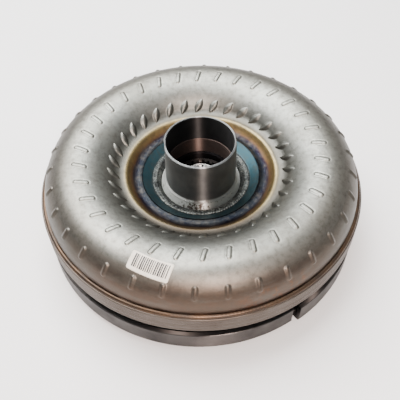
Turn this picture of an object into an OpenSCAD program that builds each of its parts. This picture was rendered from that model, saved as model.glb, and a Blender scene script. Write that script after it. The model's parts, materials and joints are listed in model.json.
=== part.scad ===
// Hydraulic torque converter with a lock-up clutch, standing cover down and hub up.
// The axis of rotation is Z, and z = 0 is the plane of the six threaded flexplate bosses.

/* [Overall] */
// Height of the shell's inner crest above the boss faces, the datum of the shell's profile
crest_z = 66; // [66:1:66]
// Number of impeller blades
blade_count = 34; // [24:1:36]
// Number of turbine blades
turbine_blade_count = 31; // [23:1:35]
// Number of stator vanes
vane_count = 19; // [13:2:23]

/* [Impeller shell] */
// Wall thickness of the impeller shell
shell_t = 3.4; // [3.4:0.1:3.4]
// Radius of the shell's outer wall
shell_r = 133; // [133:1:133]
// Radius of the circle that the crown of the shell follows
crown_r = 105.5; // [105.5:0.5:105.5]
// Radius of the outer half of the crown's section
crown_out_r = 27.5; // [27.5:0.5:27.5]
// Radius of the inner half of the crown's section
crown_in_r = 41; // [41:1:41]

/* [Hub] */
// Outer radius of the pump drive hub
hub_r = 30; // [30:0.5:30]
// Bore radius of the pump drive hub
hub_bore_r = 28; // [28:0.1:28]
// Height of the hub's tip above the crest
hub_tip = 34; // [30:1:40]
// Length of the two drive flats at the tip
flat_len = 20; // [16:1:20]
// Distance of each drive flat from the axis
flat_x = 29.1; // [29:0.1:29.4]
// Bore radius of the bushing in the hub
bushing_r = 26.9; // [26.5:0.1:27]

/* [Cover] */
// Outer radius of the machined band
band_r = 137.2; // [137.2:0.1:137.2]
// Height of the machined band's lower edge
band_z0 = 37.7; // [37:0.1:39]
// Height of the machined band's upper edge
band_z1 = 54.5; // [54:0.1:55]
// Outer radius of the cover below the band
pan_r = 130.5; // [130:0.5:131]
// Height of the cover's outside face
pan_z = 8; // [8:1:8]
// Wall thickness of the cover
cover_t = 4; // [4:0.5:4]
// Radius of the crankshaft pilot
pilot_r = 16; // [12:0.5:20]

/* [Flexplate lugs] */
// Number of drive lug plates
lug_count = 3; // [3:1:3]
// Azimuth of the gap where the first lug plate begins
lug_start = -57; // [-57:1:-57]
// Width of the gap between two lug plates, in degrees
lug_gap = 1.7; // [1:0.1:4]
// Radius of the lug plate's skirt, about its own centre
lug_r = 135.2; // [135:0.1:135.4]
// Distance that the centre of each lug plate is moved towards its leading end
lug_shift = 1.6; // [1:0.1:1.7]
// Height of the lug plate's upper edge
lug_top = 25.5; // [20:0.5:30]
// Pitch circle radius of the threaded bosses
boss_pcr = 118; // [116:0.5:120]
// Tapping radius of the threaded bosses
boss_hole_r = 4.25; // [3.4:0.05:5]

/* [Stator clutch] */
// Number of rollers in the one-way clutch
roller_count = 12; // [8:1:14]
// Radius of each roller
roller_r = 3.5; // [3.5:0.1:3.5]
// Number of spline teeth in the inner race
race_teeth = 26; // [20:2:30]
// Number of spline teeth in the turbine hub
shaft_teeth = 22; // [18:2:26]

/* [Lock-up clutch] */
// Number of damper springs
spring_count = 6; // [4:1:6]
// Free length of a damper spring as fitted
spring_len = 34; // [30:1:36]
// Pitch circle radius of the damper springs
spring_pcr = 74; // [72:1:75]
// Outer radius of the friction lining
lining_r = 118; // [112:1:118]

/* [Hidden] */
$fn = 96;
eps = 0.01;

// Heights of the inner stack, from the hub's bottom face down to the cover
hub_bottom = crest_z - 18.5;
ledge_z = crest_z - 6;
washer_t = 0.8;
needle_d = 2;
bearing_t = 2 * washer_t + needle_d;
plate_t = 2;
clutch_len = 14;
upper_plate_z = hub_bottom - bearing_t - plate_t;
clutch_z = upper_plate_z - clutch_len;
lower_plate_z = clutch_z - plate_t;
flange_top = lower_plate_z - bearing_t;
flange_t = 4;
pan_in = pan_z + cover_t;
split_z = 55;

// Rollers, bearings and splines
race_barrel_r = 27.5;
race_nose_r = 23.5;
race_bore_r = 19;
outer_race_r = 40;
roller_pcr = race_barrel_r + roller_r + 0.1;
bearing_in_r = 25.5;
bearing_out_r = 34;
turbine_nose_r = 15.5;
journal_r = 28;
shaft_bore_r = 11.5;
spline_depth = 1.4;

// Centres of the arcs of the shell's section
arc_out = [crown_r, crest_z + 19.2 - crown_out_r];
arc_in = [crown_r, crest_z + 19.2 - crown_in_r];
arc_fillet = [65.5, crest_z + 11.4];
arc_crest = [65.2, crest_z - 3.1];
arc_valley = [54, crest_z + 2.8];
fillet_r = 11;
fillet_angle = 140.3;
turbine_gap = 2.9;
turbine_t = 1.8;
core_c = [105, crest_z - 14.8];
core_r = 14.8;
core_t = 1.2;

// Inner edge of the lug plates, and the angle that each of their welds spans
lug_in_r = 108;
weld_angle = 14;

// Place of the label: azimuth, angle up the crown's section, and tilt of its long side
label_azimuth = 250.5;
label_angle = 69;
label_skew = 5.7;
label_len = 33.4;
label_w = 14.6;

// Damper stack
driven_t = 2.5;
driven_top = flange_top + driven_t;
spring_z = flange_top + driven_t / 2;
spring_r = 4.5;
wire_r = 0.9;
retainer_t = 1.5;
retainer_gap = 0.3;
pocket_r = spring_r + 0.3;
retainer_r = 88;
tab_count = 3;
tab_angle = 9.6;
rivet_pcr = 48;
rivet_r = 2.5;
piston_z = pan_in + 1.02;
piston_t = 3;

steel = [0.62, 0.61, 0.58];
dark_steel = [0.30, 0.29, 0.28];
bright_steel = [0.75, 0.75, 0.74];
blue_steel = [0.28, 0.40, 0.45];
bronze = [0.62, 0.44, 0.27];
alloy = [0.72, 0.73, 0.74];
weld_gray = [0.42, 0.41, 0.39];

// ---------- shared shapes ----------

// Points of an arc about c, from angle a0 to a1, in n steps
function arc(c, r, a0, a1, n = 10) =
  [for (i = [0:n]) let (a = a0 + (a1 - a0) * i / n) [c[0] + r * cos(a), c[1] + r * sin(a)]];

// The same points in the opposite order
function reversed(p) = [for (i = [len(p) - 1:-1:0]) p[i]];

// Mirror image of a section in the plane between impeller and turbine
function mirrored(p) = [for (q = p) [q[0], 2 * split_z - q[1]]];

module turned(points) rotate_extrude() polygon(points);

// Flat ring from radius r0 to r1, between z0 and z1
module ring(r0, r1, z0, z1)
  rotate_extrude() translate([r0, z0]) square([r1 - r0, z1 - z0]);

// Arc-shaped block from radius r0 to r1, between z0 and z1, centred on azimuth a
module sector(r0, r1, z0, z1, a, width)
  rotate([0, 0, a - width / 2])
    rotate_extrude(angle = width) translate([r0, z0]) square([r1 - r0, z1 - z0]);

module around(count, start = 0)
  for (i = [0:count - 1]) rotate([0, 0, start + i * 360 / count]) children();

// ---------- impeller shell and hub ----------

// Crown of the shell, from the inner fillet to the outer wall, moved inwards by d
function crown_points(d) = concat(
  arc(arc_fillet, fillet_r + d, -90, fillet_angle - 180, 7),
  arc(arc_in, crown_in_r - d, fillet_angle, 90, 15),
  arc(arc_out, crown_out_r - d, 88, 0, 18)
);

shell_outside = concat(
  [[34, crest_z - 14.3], [42, crest_z - 9.8], [50.2, crest_z - 4.9], [50.5, crest_z - 5.9]],
  arc(arc_valley, 9, -112, -38, 8),
  arc(arc_crest, 3.5, 142, 90, 6),
  crown_points(0)
);

shell_inside = concat(
  [[34, hub_bottom], [49.4, crest_z - 8.8]],
  arc(arc_valley, 9 + shell_t, -108, -38, 6),
  [arc_crest],
  crown_points(shell_t)
);

skirt_z = arc_out[1] - 10.7;

module impeller_shell() color(steel)
  turned(concat(
    shell_outside,
    [[shell_r, skirt_z], [shell_r - shell_t, skirt_z]],
    reversed(shell_inside)));

// Section of an impeller blade, between the shell and the core ring
blade_section = concat(
  [[shell_r - shell_t, split_z + 1]],
  arc(arc_out, crown_out_r - shell_t, 0, 88, 10),
  arc(arc_in, crown_in_r - shell_t, 90, fillet_angle, 8),
  [[90.2, split_z + 2.2]],
  arc(core_c, core_r, 158, 20, 10)
);

// Flat blade whose plane passes the axis at distance d: radii become lengths along the plane
module blade(section, d, t)
  translate([0, -d, 0]) rotate([90, 0, 0])
    linear_extrude(height = t, center = true)
      polygon([for (p = section) [sqrt(p[0] * p[0] - d * d), p[1]]]);

blade_lean = 39;

module impeller_blades() color(steel)
  around(blade_count, 26.2) blade(blade_section, blade_lean, 1.2);

module impeller_core_ring() color(steel)
  turned(concat(arc(core_c, core_r, 18.5, 161.5, 16), arc(core_c, core_r - core_t, 160, 20, 16)));

module impeller_hub() color(dark_steel)
  difference() {
    turned([
      [24.5, hub_bottom], [34, hub_bottom], [34, crest_z - 14.4], [34.3, crest_z - 14.4],
      [31.2, crest_z - 7.4], [hub_r, crest_z - 6.6],
      [hub_r, crest_z + hub_tip - 1.2], [hub_r - 0.8, crest_z + hub_tip],
      [hub_bore_r + 0.6, crest_z + hub_tip], [hub_bore_r, crest_z + hub_tip - 1],
      [hub_bore_r, ledge_z], [24.9, ledge_z], [24.5, ledge_z - 0.4]]);
    for (side = [0, 180]) rotate([0, 0, side + 6])
      translate([flat_x, -20, crest_z + hub_tip - flat_len]) cube([10, 40, flat_len + 1]);
  }

module hub_weld_bead() color(weld_gray)
  turned([[34.3, crest_z - 14.1], [41.9, crest_z - 9.86], [41, crest_z - 8.9],
    [38, crest_z - 9.2], [35.6, crest_z - 11.2]]);

module hub_bushing() color(bronze)
  ring(bushing_r, hub_bore_r, ledge_z, ledge_z + 15);

// Self-adhesive label that follows the outer half of the crown
module barcode_label() color("white")
  intersection() {
    turned(concat(arc(arc_out, crown_out_r + 0.02, 90, 20, 14),
      arc(arc_out, crown_out_r + 0.3, 20, 90, 14)));
    rotate([0, 0, label_azimuth])
      translate([crown_r + crown_out_r * cos(label_angle), 0,
        arc_out[1] + crown_out_r * sin(label_angle)])
        rotate([0, 90 - label_angle, 0]) rotate([0, 0, -label_skew])
          cube([label_w, label_len, 16], center = true);
  }

// ---------- cover and flexplate lugs ----------

module front_cover() color(steel)
  turned(concat(
    [[0, pan_z]],
    arc([pan_r - 9, pan_z + 9], 9, -90, 0, 8),
    [[pan_r, band_z0 - 1.2], [band_r - 1.5, band_z0], [band_r, band_z0 + 1.2],
      [band_r, band_z1 - 0.6], [band_r - 0.6, band_z1], [shell_r + 0.1, band_z1],
      [shell_r + 0.1, band_z0 + 5.5], [pan_r - 3.5, band_z0 + 1.5]],
    arc([119, pan_in + 8], 8, 0, -90, 8),
    [[0, pan_in]]));

module girth_weld_bead() color(bronze)
  turned(concat([[shell_r + eps, band_z1]], [[band_r - 1, band_z1]],
    arc([shell_r + 1.2, band_z1 + 0.2], 2.2, 0, 110, 8), [[shell_r + eps, band_z1 + 2.2]]));

module pilot_boss() color(bright_steel)
  turned([[0, pan_z], [pilot_r, pan_z], [pilot_r, 2.2], [pilot_r - 1.2, 1], [0, 1]]);

// Puts its children in the frame of one lug plate, whose centre is off the axis
module lug_place(index)
  rotate([0, 0, lug_start + lug_gap / 2 + index * 360 / lug_count])
    translate([lug_shift, 0, 0]) children();

module drive_lug(index) color(dark_steel)
  difference() {
    lug_place(index)
      rotate_extrude(angle = 360 / lug_count - lug_gap) polygon(concat(
        [[lug_in_r, 5]],
        arc([lug_r - 3, 8], 3, -90, 0, 6),
        [[lug_r, lug_top - 0.5], [lug_r - 0.5, lug_top], [lug_r - 3.5, lug_top],
          [lug_r - 3.5, pan_z], [lug_in_r, pan_z]]));
    for (i = [0, 1]) boss_place(2 * index + i) translate([0, 0, -1])
      cylinder(h = pan_z + 2, r = boss_hole_r);
  }

module boss_place(i)
  rotate([0, 0, lug_start + 30 + i * 60]) translate([boss_pcr, 0, 0]) children();

module lug_bosses() color(bright_steel)
  for (i = [0:2 * lug_count - 1]) boss_place(i)
    turned([[boss_hole_r, 0], [8.4, 0], [9, 0.6], [9, 5], [boss_hole_r, 5]]);

// Fillet welds along the inner edge of each lug plate, one beside each boss
module lug_welds() color(weld_gray)
  for (index = [0:lug_count - 1], i = [0, 1])
    lug_place(index) rotate([0, 0, 30 + i * 60 - weld_angle / 2])
      rotate_extrude(angle = weld_angle)
        polygon([[lug_in_r, 5.4], [lug_in_r, pan_z], [lug_in_r - 3.5, pan_z]]);

module balance_weight() color(bright_steel)
  sector(84, 96, pan_z - 2.5, pan_z, 74, 16);

// ---------- thrust bearings ----------

module bearing_washer(z) ring(bearing_in_r, bearing_out_r, z, z + washer_t);

module bearing_needles(z)
  around(24) translate([bearing_in_r + 1.2, 0, z + washer_t + needle_d / 2])
    rotate([0, 90, 0]) cylinder(h = 6, r = needle_d / 2 - 0.02, $fn = 24);

module bearing_cage(z)
  difference() {
    ring(bearing_in_r, bearing_out_r, z + washer_t + 0.4, z + washer_t + needle_d - 0.4);
    around(24) translate([bearing_in_r + 1.1, -1.05, z]) cube([6.2, 2.1, bearing_t]);
  }

hub_bearing_z = hub_bottom - bearing_t;
module hub_bearing_washer() color(bright_steel) bearing_washer(hub_bottom - washer_t);
module hub_bearing_cage() color(bronze) bearing_cage(hub_bearing_z);
module hub_bearing_needles() color(bright_steel) bearing_needles(hub_bearing_z);
module stator_bearing_washer() color(bright_steel) bearing_washer(hub_bearing_z);
module race_bearing_washer() color(bright_steel) bearing_washer(lower_plate_z - washer_t);
module turbine_bearing_cage() color(bronze) bearing_cage(flange_top);
module turbine_bearing_needles() color(bright_steel) bearing_needles(flange_top);
module turbine_bearing_washer() color(bright_steel) bearing_washer(flange_top);

// ---------- stator and its one-way clutch ----------

// Internal spline: gaps between teeth, cut outwards from bore radius r
module spline_gaps(r, teeth, z0, z1)
  around(teeth) translate([r - 1, -PI * r / teeth * 0.52, z0])
    cube([1 + spline_depth, 2 * PI * r / teeth * 0.52, z1 - z0]);

module stator_inner_race() color(dark_steel)
  difference() {
    turned([
      [race_bore_r, flange_top + 2.2], [race_nose_r, flange_top + 2.2],
      [race_nose_r, clutch_z], [race_barrel_r, clutch_z],
      [race_barrel_r, upper_plate_z], [race_nose_r, upper_plate_z],
      [race_nose_r, ledge_z - 5.6], [race_nose_r - 0.6, ledge_z - 5],
      [race_bore_r + 0.8, ledge_z - 5], [race_bore_r, ledge_z - 5.8]]);
    spline_gaps(race_bore_r, race_teeth, flange_top + 1, ledge_z);
  }

module clutch_plate_upper() color(alloy)
  ring(race_nose_r, outer_race_r + 1.5, upper_plate_z, upper_plate_z + plate_t);

module clutch_plate_lower() color(alloy)
  ring(race_nose_r, outer_race_r + 1.5, lower_plate_z, lower_plate_z + plate_t);

module clutch_outer_race() color(dark_steel)
  translate([0, 0, clutch_z + 0.1])
    linear_extrude(height = clutch_len - 0.2)
      difference() {
        circle(outer_race_r);
        circle(33.4);
        around(roller_count) translate([roller_pcr + 0.05, 0]) circle(roller_r + 0.05);
        around(roller_count, 8) translate([roller_pcr + 0.6, 0]) circle(roller_r + 0.3);
      }

module clutch_rollers() color(bright_steel)
  around(roller_count) translate([roller_pcr, 0, clutch_z + 0.5])
    cylinder(h = clutch_len - 1, r = roller_r);

// Zig-zag strip that pushes its roller into the narrow end of the cam
module clutch_springs() color(bright_steel)
  around(roller_count, 12.6) translate([roller_pcr + 1.2, 0, clutch_z + 2])
    linear_extrude(height = clutch_len - 4)
      polygon([[-2, -2.6], [1, -1.2], [-1.3, 0.1], [1, 1.6], [1, 2.1], [-2, 0.1],
        [0.3, -1.2], [-2, -2.2]]);

// Vane section across the flow: chord along Z, thick at the turbine side
vane_section = [
  [-2.2, 4.2], [-1.2, 4.3], [0.9, 1.6], [2.0, -1.2], [2.1, -3.2], [1.2, -4.3], [0.2, -3.9],
  [-0.2, -1.6], [-1.0, 1.4]];

module stator_wheel() color(alloy)
  union() {
    turned([
      [outer_race_r, clutch_z + 0.6], [46, clutch_z + 0.6], [49, 38], [61.5, 48], [63, 49.5],
      [66, 49.5], [66, 60.5], [64.5, 60], [61.5, 57.4], [57.5, 52.5], [46, 44],
      [46, upper_plate_z - 0.4], [outer_race_r, upper_plate_z - 0.4]]);
    ring(84.5, 86.5, 51.5, 58.5);
    around(vane_count) translate([65, 0, split_z + 0.2])
      rotate([90, 0, 90]) linear_extrude(height = 20) polygon(vane_section);
  }

// ---------- turbine ----------

// Turbine passage: the impeller's crown mirrored and moved inwards by the turbine gap
function turbine_points(d) = mirrored(concat(
  arc(arc_out, crown_out_r - shell_t - turbine_gap + d, -6, 88, 16),
  arc(arc_in, crown_in_r - shell_t - turbine_gap + d, 90, 143, 12)));

turbine_flange_z = driven_top;

module turbine_shell() color(steel)
  difference() {
    turned(concat(
      turbine_points(0),
      [[75.6, 47.6], [73.6, 47.2], [56.5, 28.2], [53.5, turbine_flange_z + turbine_t],
        [44, turbine_flange_z + turbine_t], [44, turbine_flange_z],
        [54.2, turbine_flange_z], [58.2, 27.6], [73.9, 44.6]],
      reversed(turbine_points(turbine_t))));
    around(12) translate([rivet_pcr, 0, 20]) cylinder(h = 10, r = rivet_r, $fn = 32);
  }

turbine_blade_section = concat(
  [[shell_r - shell_t - turbine_gap, split_z - 1]],
  mirrored(arc(arc_out, crown_out_r - shell_t - turbine_gap, 0, 88, 10)),
  mirrored(arc(arc_in, crown_in_r - shell_t - turbine_gap, 90, 140, 8)),
  [[90.2, split_z - 2.2]],
  mirrored(arc(core_c, core_r, 158, 20, 10))
);

module turbine_blades() color(steel)
  around(turbine_blade_count) mirror([0, 1, 0]) blade(turbine_blade_section, 30, 1);

module turbine_core_ring() color(steel)
  turned(mirrored(concat(arc(core_c, core_r, 18.5, 161.5, 16),
    arc(core_c, core_r - core_t, 160, 20, 16))));

module turbine_hub() color(dark_steel)
  difference() {
    turned([
      [10, 13.6], [journal_r, 13.6], [journal_r, 14.4], [journal_r - 1.6, 14.4],
      [journal_r - 1.6, 15.9], [journal_r, 15.9], [journal_r, flange_top - flange_t],
      [52, flange_top - flange_t], [52, flange_top], [turbine_nose_r + 1, flange_top],
      [turbine_nose_r, flange_top + 1], [turbine_nose_r, ledge_z - 4],
      [turbine_nose_r - 1, ledge_z - 3], [shaft_bore_r + 1, ledge_z - 3],
      [shaft_bore_r, ledge_z - 4], [shaft_bore_r, 18.3], [10, 18.3]]);
    spline_gaps(shaft_bore_r, shaft_teeth, 20, ledge_z);
    around(12) translate([rivet_pcr, 0, 15]) cylinder(h = 10, r = rivet_r, $fn = 32);
  }

module driven_plate() color(dark_steel)
  difference() {
    ring(36, 81, flange_top, driven_top);
    around(spring_count) translate([spring_pcr - pocket_r, -spring_len / 2 - 0.2, 20])
      cube([2 * pocket_r, spring_len + 0.4, 10]);
    around(12) translate([rivet_pcr, 0, 20]) cylinder(h = 10, r = rivet_r, $fn = 32);
    around(spring_count, 180 / spring_count) translate([66, 0, 20]) cylinder(h = 10, r = 6);
  }

module turbine_rivets() color(bright_steel)
  around(12) translate([rivet_pcr, 0, 0]) turned([
    [0, flange_top - flange_t - 0.8], [3.2, flange_top - flange_t - 0.8],
    [3.8, flange_top - flange_t], [rivet_r, flange_top - flange_t],
    [rivet_r, turbine_flange_z + turbine_t], [3.8, turbine_flange_z + turbine_t],
    [3, turbine_flange_z + turbine_t + 1], [0, turbine_flange_z + turbine_t + 1]]);

module piston_seal_ring() color([0.15, 0.15, 0.15])
  ring(journal_r - 1.6, journal_r + 0.02, 14.4, 15.9);

module cover_thrust_washer() color(bronze)
  difference() {
    ring(13, 27, pan_in + 0.02, 13.6);
    around(6) translate([12, -1, pan_in - 1]) cube([16, 2, 1.6]);
  }

// ---------- lock-up damper and piston ----------

// One pressed retainer plate, with a raised half-tube over each spring; up is 1 or -1
module retainer(up)
  translate([0, 0, spring_z]) mirror([0, 0, up > 0 ? 0 : 1])
    difference() {
      union() {
        ring(62, retainer_r, driven_t / 2 + retainer_gap, driven_t / 2 + retainer_gap + retainer_t);
        around(spring_count) translate([spring_pcr, spring_len / 2 + 1.4, 0])
          rotate([90, 0, 0]) intersection() {
            cylinder(h = spring_len + 2.8, r = pocket_r + 1);
            translate([-10, driven_t / 2 + retainer_gap, -1]) cube([20, 10, spring_len + 5]);
          }
      }
      around(spring_count) translate([spring_pcr, spring_len / 2 + 0.2, 0])
        rotate([90, 0, 0]) cylinder(h = spring_len + 0.4, r = pocket_r);
      around(spring_count) translate([spring_pcr - 2.2, -spring_len / 2 + 3, 0])
        cube([4.4, spring_len - 6, 10]);
      around(tab_count, 30) sector(85, 90, 0, 8, 0, tab_angle + 0.8);
      around(spring_count, 11) translate([84.5, 0, -1]) cylinder(h = 9, r = 1.5, $fn = 24);
    }

module retainer_lower() color(steel) retainer(-1);
module retainer_upper() color(steel) retainer(1);

module retainer_rivets() color(bright_steel)
  around(spring_count, 11) translate([84.5, 0, spring_z]) union() {
    translate([0, 0, -driven_t / 2 - retainer_gap - retainer_t])
      cylinder(h = driven_t + 2 * (retainer_gap + retainer_t), r = 1.5, $fn = 24);
    translate([0, 0, -driven_t / 2 - retainer_gap]) cylinder(h = driven_t + 2 * retainer_gap, r = 2.4);
    for (side = [-1, 1]) translate([0, 0, side * (driven_t / 2 + retainer_gap + retainer_t + 0.4)])
      cylinder(h = 0.8, r = 2.4, center = true);
  }

// Helix of a spring wire: one ring of points per step, swept along Y
turns = 6;
steps = 9;
sides = 6;
helix_n = turns * steps;
helix_r = spring_r - wire_r;
function helix_ring(i) = let (a = 360 * i / steps, y = -spring_len / 2 + wire_r
    + (spring_len - 2 * wire_r) * i / helix_n)
  [for (j = [0:sides - 1]) let (b = 360 * j / sides, q = helix_r + wire_r * cos(b))
    [q * cos(a), y + wire_r * sin(b), q * sin(a)]];

module spring_coil()
  polyhedron(
    points = [for (i = [0:helix_n]) each helix_ring(i)],
    faces = concat(
      [[for (j = [0:sides - 1]) j]],
      [for (i = [0:helix_n - 1], j = [0:sides - 1]) let (k = (j + 1) % sides)
        [i * sides + j, (i + 1) * sides + j, (i + 1) * sides + k, i * sides + k]],
      [[for (j = [sides - 1:-1:0]) helix_n * sides + j]]));

module damper_springs() color([0.35, 0.37, 0.42])
  around(spring_count) translate([spring_pcr, 0, spring_z]) spring_coil();

module lockup_piston() color(steel)
  union() {
    turned([
      [journal_r + 0.05, piston_z], [121.5, piston_z], [121.5, piston_z + 5.5],
      [118.5, piston_z + 5.5], [118.5, piston_z + piston_t], [34, piston_z + piston_t],
      [32, 16.6], [journal_r + 0.05, 16.6]]);
    around(tab_count, 30) sector(85.5, 87.8, piston_z + piston_t - 1, 27, 0, tab_angle);
  }

module friction_lining() color([0.36, 0.26, 0.17])
  ring(94, lining_r, pan_in + 0.02, piston_z);

impeller_shell();
impeller_blades();
impeller_core_ring();
impeller_hub();
hub_weld_bead();
hub_bushing();
front_cover();
girth_weld_bead();
pilot_boss();
drive_lug(0);  // drive_lug_1
drive_lug(1);  // drive_lug_2
drive_lug(2);  // drive_lug_3
lug_bosses();
lug_welds();
balance_weight();
barcode_label();
hub_bearing_washer();
hub_bearing_cage();
hub_bearing_needles();
stator_bearing_washer();
stator_inner_race();
clutch_plate_upper();
clutch_plate_lower();
race_bearing_washer();
stator_wheel();
clutch_outer_race();
clutch_rollers();
clutch_springs();
turbine_bearing_cage();
turbine_bearing_needles();
turbine_bearing_washer();
turbine_hub();
turbine_shell();
turbine_blades();
turbine_core_ring();
turbine_rivets();
driven_plate();
piston_seal_ring();
cover_thrust_washer();
retainer_lower();
retainer_upper();
retainer_rivets();
damper_springs();
lockup_piston();
friction_lining();
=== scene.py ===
"""Torque converter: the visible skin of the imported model, with its materials, floor, lights and camera."""

import json
import math
from collections import namedtuple

import bmesh
import bpy
import numpy as np
from mathutils import Matrix, Vector


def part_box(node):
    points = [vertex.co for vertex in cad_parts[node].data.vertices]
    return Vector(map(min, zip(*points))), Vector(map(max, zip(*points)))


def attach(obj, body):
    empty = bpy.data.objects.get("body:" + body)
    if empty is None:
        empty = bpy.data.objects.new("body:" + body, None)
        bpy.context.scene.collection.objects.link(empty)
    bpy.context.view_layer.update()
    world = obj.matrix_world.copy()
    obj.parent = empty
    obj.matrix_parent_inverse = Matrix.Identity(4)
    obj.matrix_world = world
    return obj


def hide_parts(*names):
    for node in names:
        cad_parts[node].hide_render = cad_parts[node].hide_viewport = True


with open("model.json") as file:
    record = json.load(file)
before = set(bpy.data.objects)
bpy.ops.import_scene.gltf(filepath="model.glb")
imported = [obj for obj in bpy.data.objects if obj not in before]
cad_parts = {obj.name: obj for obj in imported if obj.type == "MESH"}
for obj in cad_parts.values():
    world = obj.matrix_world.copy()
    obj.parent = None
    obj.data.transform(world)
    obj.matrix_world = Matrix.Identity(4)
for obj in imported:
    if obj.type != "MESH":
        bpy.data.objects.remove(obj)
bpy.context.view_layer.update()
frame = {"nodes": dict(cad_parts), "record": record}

# ---------------------------------------------------------------- driving dimensions, in millimetres
MM = 0.001
BLADES = 34

# The hub stands 34 mm above the crest, the ring of the shell round the heat-tinted valley.
HUB_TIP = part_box("impeller_hub")[1][2] / MM
CREST_Z = HUB_TIP - 34.0

# The shell's outside in section: valley, crest, fillet, then the crown's inner and outer arcs.
SHELL_R = 133.0
SHELL_WALL = 3.4
VALLEY_C = (54.0, CREST_Z + 2.8)
VALLEY_R = 9.0
CREST_C = (65.2, CREST_Z - 3.1)
CREST_R = 3.5
FILLET_C = (65.5, CREST_Z + 11.4)
FILLET_R = 11.0
FILLET_ANGLE = 140.3
CROWN_R = 105.5
CROWN_TOP = CREST_Z + 19.2
CROWN_IN = 41.0
CROWN_OUT = 27.5
IN_C = (CROWN_R, CROWN_TOP - CROWN_IN)
OUT_C = (CROWN_R, CROWN_TOP - CROWN_OUT)

# The pump drive hub, with two flats that the pump gear drives on.
HUB_R = 30.0
HUB_BORE_R = 28.0
HUB_LEDGE_R = 24.5
HUB_FOOT_R = 34.0
FLAT_X = 29.1
FLAT_LEN = 20.0
FLAT_AZIMUTHS = (6.0, 186.0)

# The front cover: a pan with a turned band round its rim.
BAND_R = 137.2
BAND_LOW = 37.7
BAND_HIGH = 54.5
PAN_R = 130.5
PAN_LOW = 8.0
PAN_ROUND = 9.0
PAN_WALL = 3.5
GROOVES = ((46.5, 0.50, 0.16), (42.0, 0.45, 0.22))  # height, half width and depth

# The paper label on the crown's outer arc: its size, its azimuth, and its place on the arc.
LABEL_LEN = 33.2
LABEL_WIDTH = 14.4
LABEL_CORNER = 1.6
LABEL_AZIMUTH = 250.5
LABEL_ARC = 69.0
LABEL_SKEW = 5.7
LABEL_FACES = (0.28, 0.03)  # how far its front and back lie off the shell
LABEL_COLUMNS = 40
LABEL_ROWS = 20

# Tab dimples, one for each blade in each row: where the row lies on its arc, the first dimple's
# azimuth and the skew in degrees, and the size of a dimple.
Dimples = namedtuple("Dimples", "centre radius angle first skew length width height kind")
DIMPLE_ROWS = (
    Dimples(IN_C, CROWN_IN, 139.5, -5.1, 28.0, 14.0, 6.6, 1.5, "spindle"),
    Dimples(IN_C, CROWN_IN, 97.5, -5.0, 16.0, 13.5, 4.4, 0.7, "stadium"),
    Dimples(OUT_C, CROWN_OUT, 39.0, 2.4, 4.0, 12.0, 4.4, 1.1, "rod"),
)


# ---------------------------------------------------------------- mesh helpers
def arc(centre, radius, start, end, count):
    """Points of an arc in a section, from angle start to end in degrees."""
    angles = np.radians(np.linspace(start, end, count + 1))
    return [(centre[0] + radius * math.cos(a), centre[1] + radius * math.sin(a)) for a in angles]


def resample(points, step):
    """The same line with a point every step or less, and its corners kept."""
    out = [points[0]]
    for a, b in zip(points, points[1:]):
        n = max(1, int(math.ceil(math.dist(a, b) / step)))
        out += [(a[0] + (b[0] - a[0]) * k / n, a[1] + (b[1] - a[1]) * k / n) for k in range(1, n + 1)]
    return out


def smooth(value):
    """Eases a value from 0 to 1."""
    value = np.clip(value, 0.0, 1.0)
    return value * value * (3.0 - 2.0 * value)


def new_object(name, verts, faces, rounded=True):
    mesh = bpy.data.meshes.new(name)
    mesh.from_pydata([tuple(v) for v in verts], [], faces)
    mesh.validate()
    if rounded:
        mesh.polygons.foreach_set("use_smooth", [True] * len(mesh.polygons))
    mesh.update()
    obj = bpy.data.objects.new(name, mesh)
    bpy.context.scene.collection.objects.link(obj)
    return obj


def turned(name, section, segments, displace):
    """Turns a closed section of (radius, height) points, in mm, about Z.

    displace(section, azimuths) gives the offsets (dr, dz) of every point in mm.
    """
    sec = np.array(section, float)
    rows = len(sec)
    az = np.radians(360.0 * np.arange(segments) / segments)
    dr, dz = displace(sec, az)
    r = sec[:, 0][:, None] + dr
    z = sec[:, 1][:, None] + dz
    verts = np.stack([r * np.cos(az)[None, :], r * np.sin(az)[None, :], z], axis=-1).reshape(-1, 3) * MM
    faces = []
    for i in range(rows):
        a = i * segments
        b = ((i + 1) % rows) * segments
        for j in range(segments):
            k = (j + 1) % segments
            faces.append((a + j, a + k, b + k, b + j))
    obj = new_object(name, verts, faces)
    bm = bmesh.new()
    bm.from_mesh(obj.data)
    bmesh.ops.recalc_face_normals(bm, faces=bm.faces)
    bm.to_mesh(obj.data)
    bm.free()
    return obj


def sharpen(obj, angle):
    """Marks the corners of a turned part sharp and leaves its curves smooth."""
    bm = bmesh.new()
    bm.from_mesh(obj.data)
    limit = math.radians(angle)
    for edge in bm.edges:
        if len(edge.link_faces) == 2 and edge.calc_face_angle(0.0) > limit:
            edge.smooth = False
    bm.to_mesh(obj.data)
    bm.free()


# ---------------------------------------------------------------- material helpers
def fill_ramp(color_ramp, stops):
    """Gives a colour ramp its stops of (place, colour)."""
    while len(color_ramp.elements) < len(stops):
        color_ramp.elements.new(0.5)
    for element, (place_on_ramp, colour) in zip(color_ramp.elements, stops):
        element.position = place_on_ramp
        element.color = (*colour, 1.0)


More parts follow.
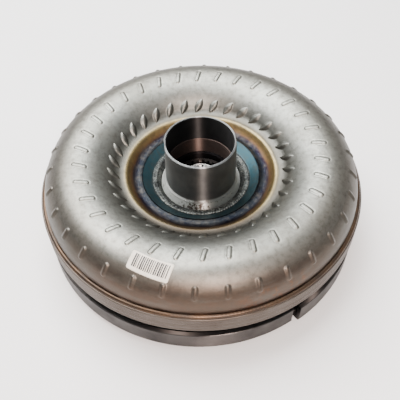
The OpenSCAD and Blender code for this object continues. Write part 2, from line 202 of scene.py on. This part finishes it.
class Nodes:
    """Short names for building a node tree."""

    def __init__(self, name):
        self.mat = bpy.data.materials.new(name)
        self.mat.use_nodes = True
        self.tree = self.mat.node_tree
        self.shader = self.tree.nodes["Principled BSDF"]

    def add(self, kind, **values):
        node = self.tree.nodes.new(kind)
        for key, value in values.items():
            if key in node.inputs:
                node.inputs[key].default_value = value
            else:
                setattr(node, key, value)
        return node

    def feed(self, socket, value):
        """Sets a number or a colour on a socket, or links another socket to it."""
        if isinstance(value, (int, float)):
            socket.default_value = value
        elif isinstance(value, tuple):
            socket.default_value = (*value, 1.0)
        else:
            self.tree.links.new(value, socket)

    def coords(self):
        return self.add("ShaderNodeTexCoord").outputs["Object"]

    def math(self, op, *values):
        node = self.add("ShaderNodeMath", operation=op)
        for socket, value in zip(node.inputs, values):
            self.feed(socket, value)
        return node.outputs[0]

    def times(self, first, *others):
        """The product of its values."""
        for value in others:
            first = self.math("MULTIPLY", first, value)
        return first

    def split(self, vector):
        node = self.add("ShaderNodeSeparateXYZ")
        self.feed(node.inputs[0], vector)
        return node.outputs

    def join(self, *values):
        node = self.add("ShaderNodeCombineXYZ")
        for socket, value in zip(node.inputs, values):
            self.feed(socket, value)
        return node.outputs[0]

    def noise(self, vector, scale, detail=4.0, rough=0.55):
        node = self.add("ShaderNodeTexNoise", Scale=scale, Detail=detail, Roughness=rough)
        self.feed(node.inputs["Vector"], vector)
        return node.outputs["Fac"]

    def ramp(self, value, stops):
        node = self.add("ShaderNodeValToRGB")
        fill_ramp(node.color_ramp, stops)
        self.feed(node.inputs[0], value)
        return node.outputs[0]

    def mix(self, factor, a, b):
        """Colour a where factor is 0, and colour b where it is 1."""
        node = self.add("ShaderNodeMix", data_type="RGBA")
        for socket, value in ((node.inputs[0], factor), (node.inputs[6], a), (node.inputs[7], b)):
            self.feed(socket, value)
        return node.outputs[2]

    def span(self, value, low, high, to_low=0.0, to_high=1.0):
        """Maps low..high to to_low..to_high, and holds the ends."""
        node = self.add("ShaderNodeMapRange")
        for socket, number in zip(node.inputs, (value, low, high, to_low, to_high)):
            self.feed(socket, number)
        return node.outputs[0]

    def between(self, value, low, full_from, full_to, high):
        """1 from full_from to full_to, fading to 0 at low and high."""
        return self.times(self.span(value, low, full_from), self.span(value, high, full_to))

    def bump(self, height, strength, distance, below=None):
        node = self.add("ShaderNodeBump", Strength=strength, Distance=distance)
        self.feed(node.inputs["Height"], height)
        if below is not None:
            self.feed(node.inputs["Normal"], below)
        return node.outputs[0]

    def finish(self, colour, roughness, normal=None, metallic=1.0):
        """Wires the shader and returns the material."""
        self.feed(self.shader.inputs["Base Color"], colour)
        self.feed(self.shader.inputs["Roughness"], roughness)
        self.feed(self.shader.inputs["Metallic"], metallic)
        if normal is not None:
            self.feed(self.shader.inputs["Normal"], normal)
        return self.mat


def srgb(red, green, blue):
    """A colour given as 0-255 on screen, made linear."""
    def channel(c):
        c = c / 255.0
        return c / 12.92 if c <= 0.04045 else ((c + 0.055) / 1.055) ** 2.4
    return (channel(red), channel(green), channel(blue))


def polar(n):
    """Radius, azimuth and height of the shaded point, in metres and radians."""
    x, y, z = n.split(n.coords())
    radius = n.math("SQRT", n.math("ADD", n.times(x, x), n.times(y, y)))
    return radius, n.math("ARCTAN2", y, x), z


def rings(n, radius, azimuth, round_scale, radial_scale):
    """Coordinates that stretch a noise round the axis, with no seam."""
    across = n.times(n.math("COSINE", azimuth), round_scale)
    along = n.times(n.math("SINE", azimuth), round_scale)
    return n.join(across, along, n.times(radius, radial_scale))


def near_azimuth(n, azimuth, degrees, outer, inner):
    """1 within inner radians of an azimuth, fading to 0 at outer."""
    off = n.math("ABSOLUTE", n.math("ADD", azimuth, math.radians(-degrees)))
    return n.span(off, outer, inner)


def ground_round(n):
    """Gives a surface the long highlights of one ground or turned about Z."""
    tangent = n.add("ShaderNodeTangent", direction_type="RADIAL", axis="Z")
    n.feed(n.shader.inputs["Tangent"], tangent.outputs[0])
    n.feed(n.shader.inputs["Anisotropic"], 1.0)
    n.feed(n.shader.inputs["Anisotropic Rotation"], 0.25)


def metal(name, colour, dark, roughness, turned_lines=0.0, metallic=1.0):
    """A worn metal: colour clouds, fine grain, and lines from turning where turned_lines is above 0."""
    n = Nodes(name)
    where = n.coords()
    clouds = n.noise(where, 60.0)
    normal = n.bump(n.noise(where, 900.0, 2.0), 0.15, 0.0002)
    if turned_lines > 0:
        radius, _, z = polar(n)
        lines = n.noise(n.join(n.times(radius, turned_lines), n.times(z, turned_lines), 0.0), 1.0, 3.0)
        normal = n.bump(lines, 0.25, 0.0002, normal)
        ground_round(n)
    base = n.mix(n.span(clouds, 0.3, 0.7), dark, colour)
    rough = n.span(clouds, 0.2, 0.8, roughness * 1.25, roughness * 0.85)
    return n.finish(base, rough, normal, metallic)


# ---------------------------------------------------------------- impeller shell
def shell_section():
    """Outside of the shell from the weld to the skirt's foot, then its inside back to the hub."""
    foot = CREST_Z - 19.0
    outside = [(34.4, CREST_Z - 14.05), (42.0, CREST_Z - 9.8), (50.2, CREST_Z - 4.9), (50.5, CREST_Z - 5.9)]
    outside += arc(VALLEY_C, VALLEY_R, -112, -38, 8)
    outside += arc(CREST_C, CREST_R, 142, 90, 8)
    outside += arc(FILLET_C, FILLET_R, -90, FILLET_ANGLE - 180, 12)
    outside += arc(IN_C, CROWN_IN, FILLET_ANGLE, 90, 40)[1:]
    outside += arc(OUT_C, CROWN_OUT, 88, 0, 40) + [(SHELL_R, foot)]
    inside = [(SHELL_R - SHELL_WALL, foot)]
    inside += arc(OUT_C, CROWN_OUT - SHELL_WALL, 0, 90, 16)
    inside += arc(IN_C, CROWN_IN - SHELL_WALL, 95, FILLET_ANGLE, 12)
    inside += arc(FILLET_C, FILLET_R + SHELL_WALL, FILLET_ANGLE - 180, -90, 6) + [CREST_C]
    inside += arc(VALLEY_C, VALLEY_R + SHELL_WALL, -38, -108, 6)
    inside += [(49.4, CREST_Z - 8.8), (34.4, CREST_Z - 18.3)]
    return resample(outside, 0.8), resample(inside, 4.0)


def dimple_height(u, v, row):
    """Height of a dimple at u along it and v across it."""
    if row.kind == "spindle":
        taper = np.clip(1 - (2 * u / row.length) ** 2, 0.0, 1.0)
        half = row.width / 2 * taper + 1e-6
        return row.height * np.clip(1 - (v / half) ** 2, 0.0, 1.0) * np.sqrt(taper)
    outside = np.hypot(np.maximum(np.abs(u) - (row.length - row.width) / 2, 0.0), v)
    if row.kind == "rod":
        return row.height * np.clip(1 - (2 * outside / row.width) ** 2, 0.0, 1.0)
    groove = 0.22 * np.exp(-(((outside - row.width / 2 - 0.1) / 0.4) ** 2))
    return row.height * smooth((row.width / 2 - outside) / (0.3 * row.width)) - groove


def raise_dimples(sec, az):
    """Offsets that raise the rows of dimples square to the shell's outside."""
    tangent = np.gradient(sec, axis=0)
    tangent /= np.linalg.norm(tangent, axis=1)[:, None]
    normal = np.stack([-tangent[:, 1], tangent[:, 0]], axis=-1)
    along = np.concatenate([[0.0], np.cumsum(np.linalg.norm(np.diff(sec, axis=0), axis=1))])
    pitch = 2 * math.pi / BLADES
    lift = np.zeros((len(sec), len(az)))
    for row in DIMPLE_ROWS:
        angle = math.radians(row.angle)
        middle = np.array(row.centre) + row.radius * np.array([math.cos(angle), math.sin(angle)])
        ds = along - along[int(np.argmin(np.linalg.norm(sec - middle, axis=1)))]
        da = (az - math.radians(row.first) + pitch / 2) % pitch - pitch / 2
        dt = sec[:, 0][:, None] * da[None, :]
        c, s = math.cos(math.radians(row.skew)), math.sin(math.radians(row.skew))
        height = dimple_height(ds[:, None] * c - dt * s, ds[:, None] * s + dt * c, row)
        height[np.abs(ds) >= row.length] = 0.0
        lift += height
    return lift * normal[:, 0][:, None], lift * normal[:, 1][:, None]


def make_shell():
    outside, inside = shell_section()
    skin = slice(0, len(outside))

    def displace(sec, az):
        dr = np.zeros((len(sec), len(az)))
        dz = np.zeros_like(dr)
        dr[skin], dz[skin] = raise_dimples(sec[skin], az)
        return dr, dz

    obj = turned("impeller_shell_skin", outside + inside, BLADES * 30, displace)
    sharpen(obj, 50.0)
    return obj


# Colour of the shell by radius in mm: teal plate, dark valley, gold ring, then the pale crown. Heat tint
# mixed with painted light: the valley's indigo tint is darkened nearly to black as painted shade in the
# hollow, the stops at 66.2 and 69.4 mm are painted shade in the fillet outside the gold ring, and the crown
# is painted paler on top and darker down its outer side.
SHELL_TINTS = (
    (36.0, srgb(84, 84, 82)), (42.0, srgb(74, 86, 90)), (43.5, srgb(46, 74, 82)),
    # Painted shade: from 50.2 mm the valley's indigo heat tint is darkened nearly to black.
    (49.5, srgb(46, 72, 80)), (50.2, srgb(14, 20, 28)), (51.4, srgb(18, 22, 28)),
    (53.5, srgb(16, 19, 26)), (55.5, srgb(14, 14, 24)), (57.5, srgb(30, 22, 27)),
    (59.2, srgb(92, 68, 46)), (61.0, srgb(140, 116, 76)), (63.0, srgb(158, 140, 98)),
    # Painted shade in the fillet at 66.2 and 69.4 mm, then painted light and shade on the crown: paler on
    # top, darker down its outer side.
    (64.6, srgb(128, 116, 86)), (66.2, srgb(84, 80, 70)), (69.4, srgb(88, 87, 82)),
    (73.0, srgb(102, 102, 97)), (84.0, srgb(122, 123, 118)), (98.0, srgb(140, 141, 134)),
    (110.0, srgb(132, 130, 122)), (122.0, srgb(110, 105, 98)), (128.0, srgb(84, 78, 71)),
    (131.0, srgb(68, 63, 57)), (133.0, srgb(66, 61, 55)),
)
TINT_FROM = 34.0
TINT_RANGE = 100.0


def heat_tint_and_painted_shade(n, radius, azimuth):
    """The rings of heat tint and painted shade, with edges that waver a little."""
    wave = n.noise(rings(n, radius, azimuth, 3.0, 60.0), 1.2, 3.0)
    wavering = n.math("ADD", radius, n.span(wave, 0.0, 1.0, -0.0012, 0.0012))
    place_on_ramp = n.span(wavering, TINT_FROM * MM, (TINT_FROM + TINT_RANGE) * MM)
    return n.ramp(place_on_ramp, [((mm - TINT_FROM) / TINT_RANGE, colour) for mm, colour in SHELL_TINTS])


def shell_material():
    """Pressed steel: heat tints round the hub, painted shade in the valley and the fillet, a crown painted
    paler on top and darker down its outer side, and a painted brown reflection on the front of the rim.
    """
    n = Nodes("pressed_shell")
    radius, azimuth, z = polar(n)
    where = n.coords()
    tint = heat_tint_and_painted_shade(n, radius, azimuth)

    # The front is browner at the rim, which is a painted reflection, with a rusty stain to the right, and
    # darker on the gold ring, which is painted shade.
    front = n.span(n.math("SINE", azimuth), -0.55, -1.0)
    rim = n.times(front, n.span(radius, 0.118, 0.129))
    tint = n.mix(n.times(rim, 0.8), tint, srgb(84, 66, 56))
    blotches = n.span(n.noise(where, 130.0, 4.0, 0.7), 0.50, 0.62)
    rust = n.times(near_azimuth(n, azimuth, -64.0, 0.30, 0.05), blotches)
    rust = n.times(rust, rim, n.span(z, 0.074, 0.066))
    tint = n.mix(n.times(rust, 0.9), tint, srgb(110, 66, 34))
    gold_ring = n.between(radius, 0.059, 0.061, 0.0665, 0.0695)
    tint = n.mix(n.times(front, gold_ring, 0.8), tint, srgb(56, 38, 28))

    # Clouds, streaks round the axis, and small marks, which fade out towards the heat tints.
    clouds = n.noise(where, 26.0, 5.0)
    streaks = n.noise(rings(n, radius, azimuth, 2.0, 160.0), 1.6, 5.0, 0.6)
    marks = n.noise(where, 240.0, 4.0, 0.65)
    outside = n.span(radius, 0.060, 0.070, 0.25, 1.0)
    base = n.mix(n.times(outside, n.span(clouds, 0.40, 0.70, 0.0, 0.40)), tint, srgb(86, 82, 73))
    base = n.mix(n.times(outside, n.span(streaks, 0.42, 0.72, 0.0, 0.25)), base, srgb(112, 118, 114))
    base = n.mix(n.span(marks, 0.45, 0.72, 0.0, 0.5), base, srgb(70, 66, 60))

    # Scuffs from a brush in the valley, and a band of painted shade outside the gold ring at the front.
    brushed = n.noise(n.join(n.times(radius, 2400.0), n.times(azimuth, 9.0), 0.0), 1.0, 3.0, 0.7)
    valley = n.between(radius, 0.0505, 0.0515, 0.056, 0.059)
    base = n.mix(n.times(valley, n.span(brushed, 0.54, 0.70, 0.0, 0.4)), base, srgb(76, 82, 90))
    shade_beyond_ring = n.times(front, n.between(radius, 0.0645, 0.0665, 0.070, 0.074), 0.7)
    base = n.mix(shade_beyond_ring, base, srgb(58, 54, 48))

    spun = n.noise(n.join(n.times(radius, 900.0), n.times(z, 900.0), n.times(azimuth, 6.0)), 1.0, 2.0)
    normal = n.bump(n.noise(where, 1400.0, 2.0), 0.25, 0.0002)
    normal = n.bump(n.noise(where, 110.0, 4.0), 0.35, 0.0006, normal)
    normal = n.bump(spun, 0.12, 0.0002, normal)
    return n.finish(base, n.span(clouds, 0.3, 0.75, 0.40, 0.50), normal)


# ---------------------------------------------------------------- hub and welds
def make_hub():
    lip_r = 28.9
    ledge = CREST_Z - 6.0
    foot_low = CREST_Z - 18.5
    foot_high = CREST_Z - 14.4
    profile = [(HUB_LEDGE_R, foot_low), (HUB_FOOT_R, foot_low), (HUB_FOOT_R, foot_high), (34.3, foot_high)]
    profile += [(33.9, CREST_Z - 12.8), (31.4, CREST_Z - 7.6), (HUB_R, CREST_Z - 6.7)]
    profile += [(HUB_R, z) for z in np.linspace(ledge, HUB_TIP - 1.4, 60)]
    profile += arc((lip_r, HUB_TIP - 1.3), 1.1, 0, 80, 5) + [(lip_r, HUB_TIP)]
    profile += arc((lip_r, HUB_TIP - 0.9), 0.9, 100, 180, 4)
    profile += [(HUB_BORE_R, ledge), (HUB_LEDGE_R + 0.4, ledge), (HUB_LEDGE_R, ledge - 0.4)]

    def displace(sec, az):
        """Cuts the drive flats into the outside, with a short run-out below them."""
        dr = np.zeros((len(sec), len(az)))
        outer = (sec[:, 0] > lip_r + 0.05) & (sec[:, 1] > ledge - 0.1)
        depth = smooth((sec[:, 1][:, None] - (HUB_TIP - FLAT_LEN) + 2.0) / 2.5)
        for azimuth in FLAT_AZIMUTHS:
            off = (az - math.radians(azimuth) + math.pi) % (2 * math.pi) - math.pi
            limit = FLAT_X / np.maximum(np.cos(off), 1e-3)
            cut = np.minimum(limit[None, :] - sec[:, 0][:, None], 0.0) * depth
            dr += np.where((np.abs(off) < 0.6)[None, :] & outer[:, None], cut, 0.0)
        return dr, np.zeros_like(dr)

    obj = turned("impeller_hub_turned", profile, 360, displace)
    sharpen(obj, 30.0)
    return obj


def hub_material():
    """Ground and polished hub, with painted highlights at the shoulder and along the top edge, painted shade
    down its bore, and grease round the shoulder.
    """
    n = Nodes("ground_hub")
    radius, azimuth, z = polar(n)
    where = n.coords()
    clouds = n.noise(where, 70.0, 4.0)
    body = n.mix(n.span(clouds, 0.3, 0.7), srgb(66, 66, 66), srgb(84, 84, 82))
    # Painted highlight: the foot and shoulder cone are paler. The same mask also places the grease below.
    low = n.span(z, (CREST_Z - 9.0) * MM, (CREST_Z - 5.0) * MM, 1.0, 0.0)
    body = n.mix(low, body, srgb(146, 148, 144))
    # Painted highlight along the rounded top edge.
    lip = n.span(z, (HUB_TIP - 1.2) * MM, (HUB_TIP - 0.7) * MM)
    body = n.mix(n.times(lip, 0.7), body, srgb(128, 130, 130))
    # Painted shade down the inside of the bore.
    bore = n.span(radius, (HUB_BORE_R - 0.1) * MM, (HUB_BORE_R + 0.3) * MM, 1.0, 0.0)
    body = n.mix(bore, body, srgb(26, 24, 25))
    spots = n.noise(where, 420.0, 4.0, 0.7)
    more_in_front = n.times(near_azimuth(n, azimuth, -98.0, 0.5, 0.15), 0.14)
    grease = n.times(low, n.span(n.math("ADD", spots, more_in_front), 0.60, 0.66))
    body = n.mix(n.times(grease, 0.9), body, srgb(40, 26, 18))
    lines = n.noise(n.join(n.times(z, 2600.0), n.times(azimuth, 4.0), 0.0), 1.0, 3.0)
    ground_round(n)
    return n.finish(body, n.span(clouds, 0.2, 0.8, 0.40, 0.46), n.bump(lines, 0.12, 0.0002))


def make_hub_weld():
    """The weld bead between hub and shell, rippled on top and flat below."""
    bead = [(42.1, CREST_Z - 9.5), (40.8, CREST_Z - 9.0), (38.0, CREST_Z - 9.6), (35.8, CREST_Z - 11.4)]
    bead += [(34.4, CREST_Z - 13.0)]
    section = [(34.35, CREST_Z - 14.0), (41.9, CREST_Z - 9.86)] + resample(bead, 0.5)
    waves = np.random.default_rng(7).normal(size=(6, 3))

    def displace(sec, az):
        row = np.arange(len(sec))[:, None]
        top = np.where(row >= len(sec) - 2, 0.3, np.clip((row - 1) / 2.0, 0, 1))
        r = sec[:, 0][:, None]
        lift = 0.16 * np.sin(az * 110 + 0.8 * r)
        for i, (size, shift, slant) in enumerate(waves):
            lift += 0.10 * size * np.sin(az * (9 + 11 * i) + shift * 6 + r * slant)
        return np.zeros((len(sec), len(az))), top * lift

    return turned("hub_weld_ripples", section, 900, displace)


def weld_material():
    """Weld metal: grey, grainy and uneven."""
    n = Nodes("weld_metal")
    where = n.coords()
    grains = n.noise(where, 700.0, 5.0, 0.7)
    clouds = n.noise(where, 90.0, 3.0)
    stops = [(0.36, srgb(20, 20, 20)), (0.48, srgb(54, 57, 57)), (0.62, srgb(104, 108, 104))]
    base = n.ramp(n.math("ADD", n.times(grains, 0.7), n.times(clouds, 0.3)), stops)
    return n.finish(base, n.span(grains, 0.3, 0.7, 0.35, 0.6), n.bump(grains, 0.6, 0.0006), 0.9)


def make_girth_weld():
    """The weld bead in the corner between the shell and the cover's band."""
    section = [(SHELL_R + 0.02, BAND_HIGH + 0.02), (BAND_R - 1.0, BAND_HIGH + 0.02)]
    section += arc((SHELL_R + 1.2, BAND_HIGH + 0.2), 2.2, 0, 110, 10) + [(SHELL_R + 0.02, BAND_HIGH + 2.3)]

    def displace(sec, az):
        row = np.arange(len(sec))
        lift = np.where((row > 1) & (row < len(sec) - 1), 1.0, 0.0)[:, None]
        ripple = 0.05 * np.sin(az * 300) + 0.07 * np.sin(az * 17 + 1.0) + 0.05 * np.sin(az * 41)
        return lift * (0.4 * ripple[None, :] - 0.2), lift * ripple[None, :]

    return turned("girth_weld_ripples", section, 1200, displace)


# ---------------------------------------------------------------- cover
def make_cover():
    pan_high = PAN_LOW + 4.0
    profile = [(0.01, PAN_LOW), (20.0, PAN_LOW), (60.0, PAN_LOW)]
    profile += arc((PAN_R - PAN_ROUND, PAN_LOW + PAN_ROUND), PAN_ROUND, -90, 0, 12)
    profile += [(PAN_R, BAND_LOW - 1.2), (BAND_R - 1.6, BAND_LOW)]
    profile += arc((BAND_R - 1.2, BAND_LOW + 1.2), 1.2, -70, 0, 5)
    profile += resample([(BAND_R, BAND_LOW + 1.4), (BAND_R, BAND_HIGH - 0.7)], 0.35)
    profile += arc((BAND_R - 0.7, BAND_HIGH - 0.7), 0.7, 10, 90, 4)
    profile += [(SHELL_R + 0.1, BAND_HIGH), (SHELL_R + 0.1, BAND_LOW + 5.5)]
    profile += [(PAN_R - PAN_WALL, BAND_LOW + 1.5)]
    profile += arc((PAN_R - PAN_WALL - 8.0, pan_high + 8.0), 8.0, 0, -90, 8) + [(0.01, pan_high)]

    def displace(sec, az):
        """Turning marks and two deeper grooves on the band."""
        z = sec[:, 1]
        groove = -0.10 - 0.10 * np.sin(z * 5.2)
        for middle, half, depth in GROOVES:
            groove -= depth * np.exp(-(((z - middle) / half) ** 2))
        band = (sec[:, 0] >= BAND_R - 0.01) & (z > BAND_LOW + 1.5) & (z < BAND_HIGH - 0.8)
        dr = np.zeros((len(sec), len(az)))
        dr[band] = groove[band][:, None]
        return dr, np.zeros_like(dr)

    obj = turned("front_cover_turned", profile, 720, displace)
    sharpen(obj, 30.0)
    return obj


def cover_material():
    """Turned steel, with painted shade darkening the side below the band."""
    n = Nodes("turned_cover")
    radius, azimuth, z = polar(n)
    clouds = n.noise(n.coords(), 30.0, 4.0)
    base = n.mix(n.span(clouds, 0.3, 0.7), srgb(70, 61, 55), srgb(92, 84, 78))
    # Painted shade under the band's overhang: the side below the band is made nearly black.
    low = n.span(z, (BAND_LOW + 0.8) * MM, (BAND_LOW - 0.6) * MM)
    base = n.mix(n.times(low, n.span(radius, 0.120, 0.128)), base, srgb(34, 34, 38))
    lines = n.noise(n.join(n.times(radius, 2200.0), n.times(z, 2200.0), n.times(azimuth, 2.0)), 1.0, 2.0)
    return n.finish(base, n.span(clouds, 0.3, 0.7, 0.36, 0.46), n.bump(lines, 0.3, 0.0002))


# ---------------------------------------------------------------- label
def label_point(across, up, lift):
    """A point of the label in metres, from its place as shares of the length and width."""
    u = (across - 0.5) * LABEL_LEN
    v = (up - 0.5) * LABEL_WIDTH
    straight_u = LABEL_LEN / 2 - LABEL_CORNER
    straight_v = LABEL_WIDTH / 2 - LABEL_CORNER
    over_u = abs(u) - straight_u
    over_v = abs(v) - straight_v
    if over_u > 0 and over_v > 0:
        shrink = max(over_u, over_v) / math.hypot(over_u, over_v)
        u = math.copysign(straight_u + over_u * shrink, u)
        v = math.copysign(straight_v + over_v * shrink, v)
    skew = math.radians(LABEL_SKEW)
    angle = math.radians(LABEL_ARC) + (v * math.cos(skew) - u * math.sin(skew)) / CROWN_OUT
    r = OUT_C[0] + (CROWN_OUT + lift) * math.cos(angle)
    z = OUT_C[1] + (CROWN_OUT + lift) * math.sin(angle)
    a = math.radians(LABEL_AZIMUTH) + (v * math.sin(skew) + u * math.cos(skew)) / r
    return (r * math.cos(a) * MM, r * math.sin(a) * MM, z * MM)


def make_label():
    """A paper label that follows the crown, with rounded corners."""
    verts = []
    for lift in LABEL_FACES:
        for i in range(LABEL_ROWS + 1):
            for j in range(LABEL_COLUMNS + 1):
                verts.append(label_point(j / LABEL_COLUMNS, i / LABEL_ROWS, lift))
    stride = LABEL_COLUMNS + 1
    layer = stride * (LABEL_ROWS + 1)
    faces = []
    for i in range(LABEL_ROWS):
        for j in range(LABEL_COLUMNS):
            a = i * stride + j
            faces.append((a, a + 1, a + 1 + stride, a + stride))
            faces.append((layer + a, layer + a + stride, layer + a + 1 + stride, layer + a + 1))
    border = list(range(stride))
    border += [i * stride + LABEL_COLUMNS for i in range(1, LABEL_ROWS + 1)]
    border += [LABEL_ROWS * stride + j for j in range(LABEL_COLUMNS - 1, -1, -1)]
    border += [i * stride for i in range(LABEL_ROWS - 1, 0, -1)]
    for a, b in zip(border, border[1:] + border[:1]):
        faces.append((a, layer + a, layer + b, b))
    obj = new_object("barcode_label_paper", verts, faces)
    uv = obj.data.uv_layers.new(name="label")
    for loop in obj.data.loops:
        k = loop.vertex_index % layer
        uv.data[loop.index].uv = ((k % stride) / LABEL_COLUMNS, (k // stride) / LABEL_ROWS)
    return obj


def label_material():
    """White paper with a row of plain bars of uneven width."""
    n = Nodes("label_print")
    u, v, _ = n.split(n.add("ShaderNodeUVMap", uv_map="label").outputs[0])
    across = n.times(u, 21.0)
    white = n.add("ShaderNodeTexWhiteNoise", noise_dimensions="1D")
    n.feed(white.inputs["W"], n.math("FLOOR", across))
    width_share = n.span(white.outputs["Value"], 0.0, 1.0, 0.35, 0.80)
    bars = n.math("LESS_THAN", n.math("FRACT", across), width_share)
    inside_u = n.times(n.math("GREATER_THAN", u, 0.09), n.math("LESS_THAN", u, 0.93))
    inside_v = n.times(n.math("GREATER_THAN", v, 0.20), n.math("LESS_THAN", v, 0.90))
    ink = n.times(bars, inside_u, inside_v)
    stain = n.noise(n.coords(), 160.0, 3.0)
    paper = n.mix(n.span(stain, 0.4, 0.8, 0.0, 0.5), srgb(222, 214, 200), srgb(196, 180, 156))
    base = n.mix(ink, paper, srgb(26, 26, 30))
    return n.finish(base, 0.55, n.bump(stain, 0.05, 0.0002), 0.0)


# ---------------------------------------------------------------- the visible pieces
def place(obj, material, body, slot, *nodes):
    obj.data.materials.append(material)
    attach(obj, body)
    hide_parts(*nodes)


weld = weld_material()
# Brown-grey weld steel whose bronze tone is partly a painted highlight.
weld_with_bronze_sheen = metal("weld_with_bronze_sheen", srgb(92, 72, 56), srgb(66, 59, 54), 0.36)
place(make_shell(), shell_material(), "housing", "shell_steel", "impeller_shell")
place(make_hub(), hub_material(), "housing", "dark_steel", "impeller_hub")
place(make_hub_weld(), weld, "housing", "weld", "hub_weld_bead")
place(make_girth_weld(), weld_with_bronze_sheen, "housing", "weld", "girth_weld_bead")
place(make_cover(), cover_material(), "housing", "shell_steel", "front_cover")
place(make_label(), label_material(), "housing", "label_paper", "barcode_label")

# ---------------------------------------------------------------- CAD nodes that stay as they are
SLOT_LOOKS = {
    "shell_steel": metal("inner_pressed_steel", srgb(150, 148, 144), srgb(120, 118, 114), 0.40),
    "dark_steel": metal("dark_machined_steel", srgb(86, 82, 80), srgb(64, 61, 60), 0.34, 900.0),
    "bright_steel": metal("bright_steel", srgb(196, 194, 190), srgb(164, 162, 158), 0.26),
    "bronze": metal("bearing_bronze", srgb(186, 142, 104), srgb(150, 110, 78), 0.28, 900.0),
    "alloy": metal("cast_alloy", srgb(186, 188, 190), srgb(156, 158, 160), 0.46),
    "weld": weld,
    "seal": metal("black_seal", srgb(34, 34, 34), srgb(24, 24, 24), 0.5, metallic=0.0),
    "friction_paper": metal("friction_paper", srgb(120, 92, 62), srgb(92, 70, 46), 0.85, metallic=0.0),
    "label_paper": metal("paper", srgb(236, 232, 222), srgb(220, 214, 200), 0.6, metallic=0.0),
}
NODE_LOOKS = {
    "hub_bushing": metal("worn_bushing", srgb(104, 88, 82), srgb(78, 68, 64), 0.38, 900.0),
    # Painted shade: the race deep in the bore is given a darker steel.
    "stator_inner_race": metal("race_in_bore_shade", srgb(48, 44, 42), srgb(34, 32, 32), 0.34, 900.0),
    "turbine_hub": metal("bright_nose", srgb(176, 174, 170), srgb(150, 148, 144), 0.30, 900.0),
}
node_slot = {part["node"]: part["material_slot"] for part in frame["record"]["subparts"]}
for node, obj in frame["nodes"].items():
    look = NODE_LOOKS.get(node, SLOT_LOOKS[node_slot[node]])
    obj.data.materials.clear()
    obj.data.materials.append(look)

# ---------------------------------------------------------------- floor, lights and camera
FLOOR_HALF = 20.0
AIM_AT = (0, 0, 0.05)
CAMERA_ELEVATION = math.radians(51.03)
CAMERA_ROLL = math.radians(-1.38)
CAMERA_DISTANCE = 0.500
CAMERA_SHIFT = (-0.00123, -0.02656)  # right and up, so that the part sits where it should in the frame
CAMERA_LENS = 52.7


def make_floor():
    half = FLOOR_HALF
    corners = [(-half, -half, 0), (half, -half, 0), (half, half, 0), (-half, half, 0)]
    floor = new_object("floor", corners, [(0, 1, 2, 3)], rounded=False)
    n = Nodes("pale_floor")
    haze = n.noise(n.coords(), 3.0, 2.0)
    base = n.mix(n.span(haze, 0.3, 0.7), (0.86, 0.86, 0.86), (0.90, 0.90, 0.90))
    floor.data.materials.append(n.finish(base, 0.9, metallic=0.0))


def area_light(name, position, size, power, colour=(1.0, 1.0, 1.0), size_y=None):
    data = bpy.data.lights.new(name, "AREA")
    data.energy = power
    data.color = colour
    data.size = size
    if size_y:
        data.shape = "RECTANGLE"
        data.size_y = size_y
    obj = bpy.data.objects.new(name, data)
    obj.location = position
    aim = Vector(AIM_AT) - Vector(position)
    obj.rotation_euler = aim.to_track_quat("-Z", "Y").to_euler()
    bpy.context.scene.collection.objects.link(obj)


def make_world():
    """A soft studio sky, bright overhead and dimmer round the horizon."""
    world = bpy.data.worlds.new("studio")
    bpy.context.scene.world = world
    world.use_nodes = True
    tree = world.node_tree
    split = tree.nodes.new("ShaderNodeSeparateXYZ")
    tree.links.new(tree.nodes.new("ShaderNodeTexCoord").outputs["Generated"], split.inputs[0])
    height = tree.nodes.new("ShaderNodeValToRGB")
    stops = ((0.0, (0.46, 0.44, 0.43)), (0.35, (0.50, 0.51, 0.50)), (1.0, (0.92, 0.94, 0.95)))
    fill_ramp(height.color_ramp, stops)
    tree.links.new(split.outputs[2], height.inputs[0])
    tree.links.new(height.outputs[0], tree.nodes["Background"].inputs[0])
    tree.nodes["Background"].inputs[1].default_value = 1.0


def make_camera():
    """Stands above the front of the part and looks down at it, with a slight roll."""
    forward = Vector((0, math.cos(CAMERA_ELEVATION), -math.sin(CAMERA_ELEVATION)))
    right = Vector((1, 0, 0))
    up = right.cross(forward)
    spot = right * CAMERA_SHIFT[0] + up * CAMERA_SHIFT[1] - forward * CAMERA_DISTANCE
    spot += Vector((0, 0, CREST_Z * MM))
    x_axis = right * math.cos(CAMERA_ROLL) + up * math.sin(CAMERA_ROLL)
    y_axis = up * math.cos(CAMERA_ROLL) - right * math.sin(CAMERA_ROLL)
    matrix = Matrix((x_axis, y_axis, -forward)).transposed().to_4x4()
    matrix.translation = spot
    data = bpy.data.cameras.new("camera")
    data.sensor_width = 36.0
    data.lens = CAMERA_LENS
    data.clip_start = 0.01
    camera = bpy.data.objects.new("camera", data)
    camera.matrix_world = matrix
    bpy.context.scene.collection.objects.link(camera)
    bpy.context.scene.camera = camera


make_floor()
make_world()
area_light("back", (-0.33, 0.50, 1.22), 1.15, 60.0)
area_light("front", (0.09, -0.85, 0.95), 0.16, 24.0, (1.0, 0.82, 0.74), size_y=0.7)
make_camera()
